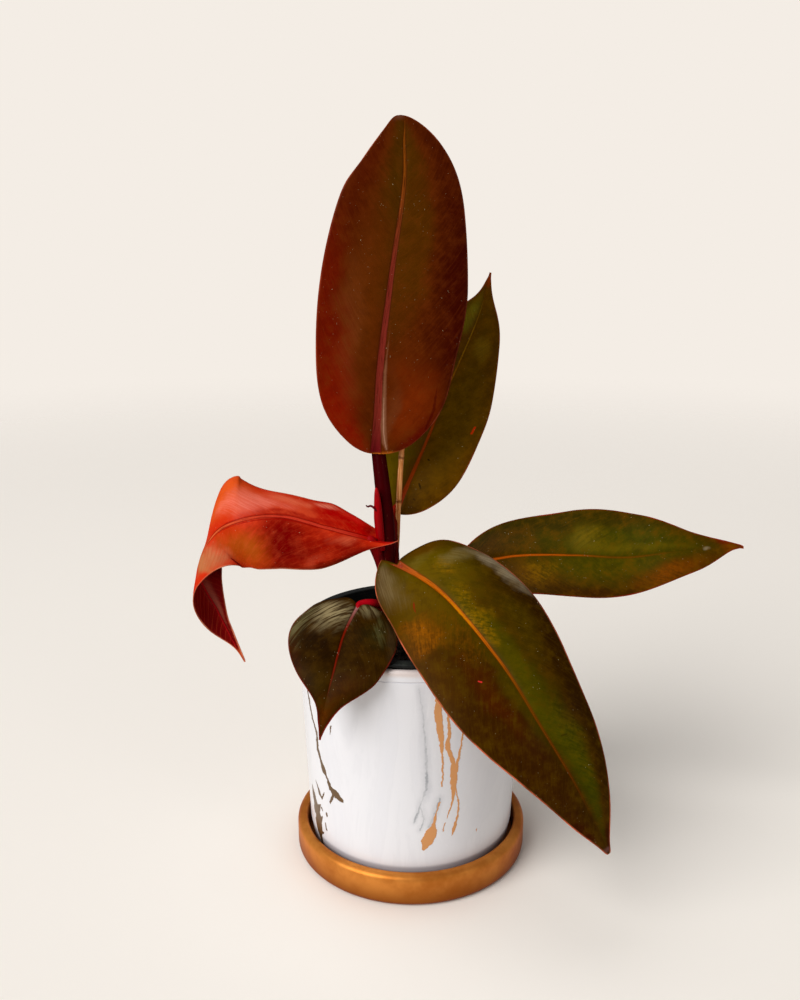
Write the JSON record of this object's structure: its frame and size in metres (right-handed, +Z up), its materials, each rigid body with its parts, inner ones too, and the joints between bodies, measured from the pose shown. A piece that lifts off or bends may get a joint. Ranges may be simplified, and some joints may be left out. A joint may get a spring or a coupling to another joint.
{
  "type": "potted philodendron",
  "caption": "Leafy indoor plant with broad pointed leaves on a short stem beside a stake, in a plastic grower's pot inside a white ceramic pot that stands on a round saucer.",
  "frame": {"origin": "middle of the saucer's underside", "axes": "+Z up along the pots' axis, +X to the right and -Y towards the viewer in the picture"},
  "size_m": [0.3063, 0.173, 0.4144],
  "materials": {
    "saucer_glaze": "satin copper-gold lustre glaze",
    "white_glaze": "white glaze, grey marbling and gold splashes",
    "black_plastic": "satin black plastic",
    "potting_mix": "dark, crumbly",
    "bamboo": "bare split bamboo",
    "stalk_skin": "smooth, glossy dark maroon",
    "leaf_bronze": "smooth glossy red-brown leaf",
    "leaf_olive": "smooth glossy olive leaf",
    "leaf_coral": "smooth glossy coral-red leaf",
    "leaf_dark": "smooth glossy dark olive leaf",
    "sheath_red": "smooth glossy red sheath"
  },
  "bodies": {
    "root": {"saucer": "saucer_glaze", "ceramic_pot": "white_glaze", "nursery_pot": "black_plastic", "soil": "potting_mix", "bamboo_stake": "bamboo", "stem": "stalk_skin", "leaf_upright": "leaf_bronze", "leaf_back": "leaf_olive", "leaf_red": "leaf_coral", "leaf_heart": "leaf_dark", "leaf_front": "leaf_olive", "leaf_right": "leaf_olive", "new_leaf_sheath": "sheath_red"}
  },
  "joints": []
}
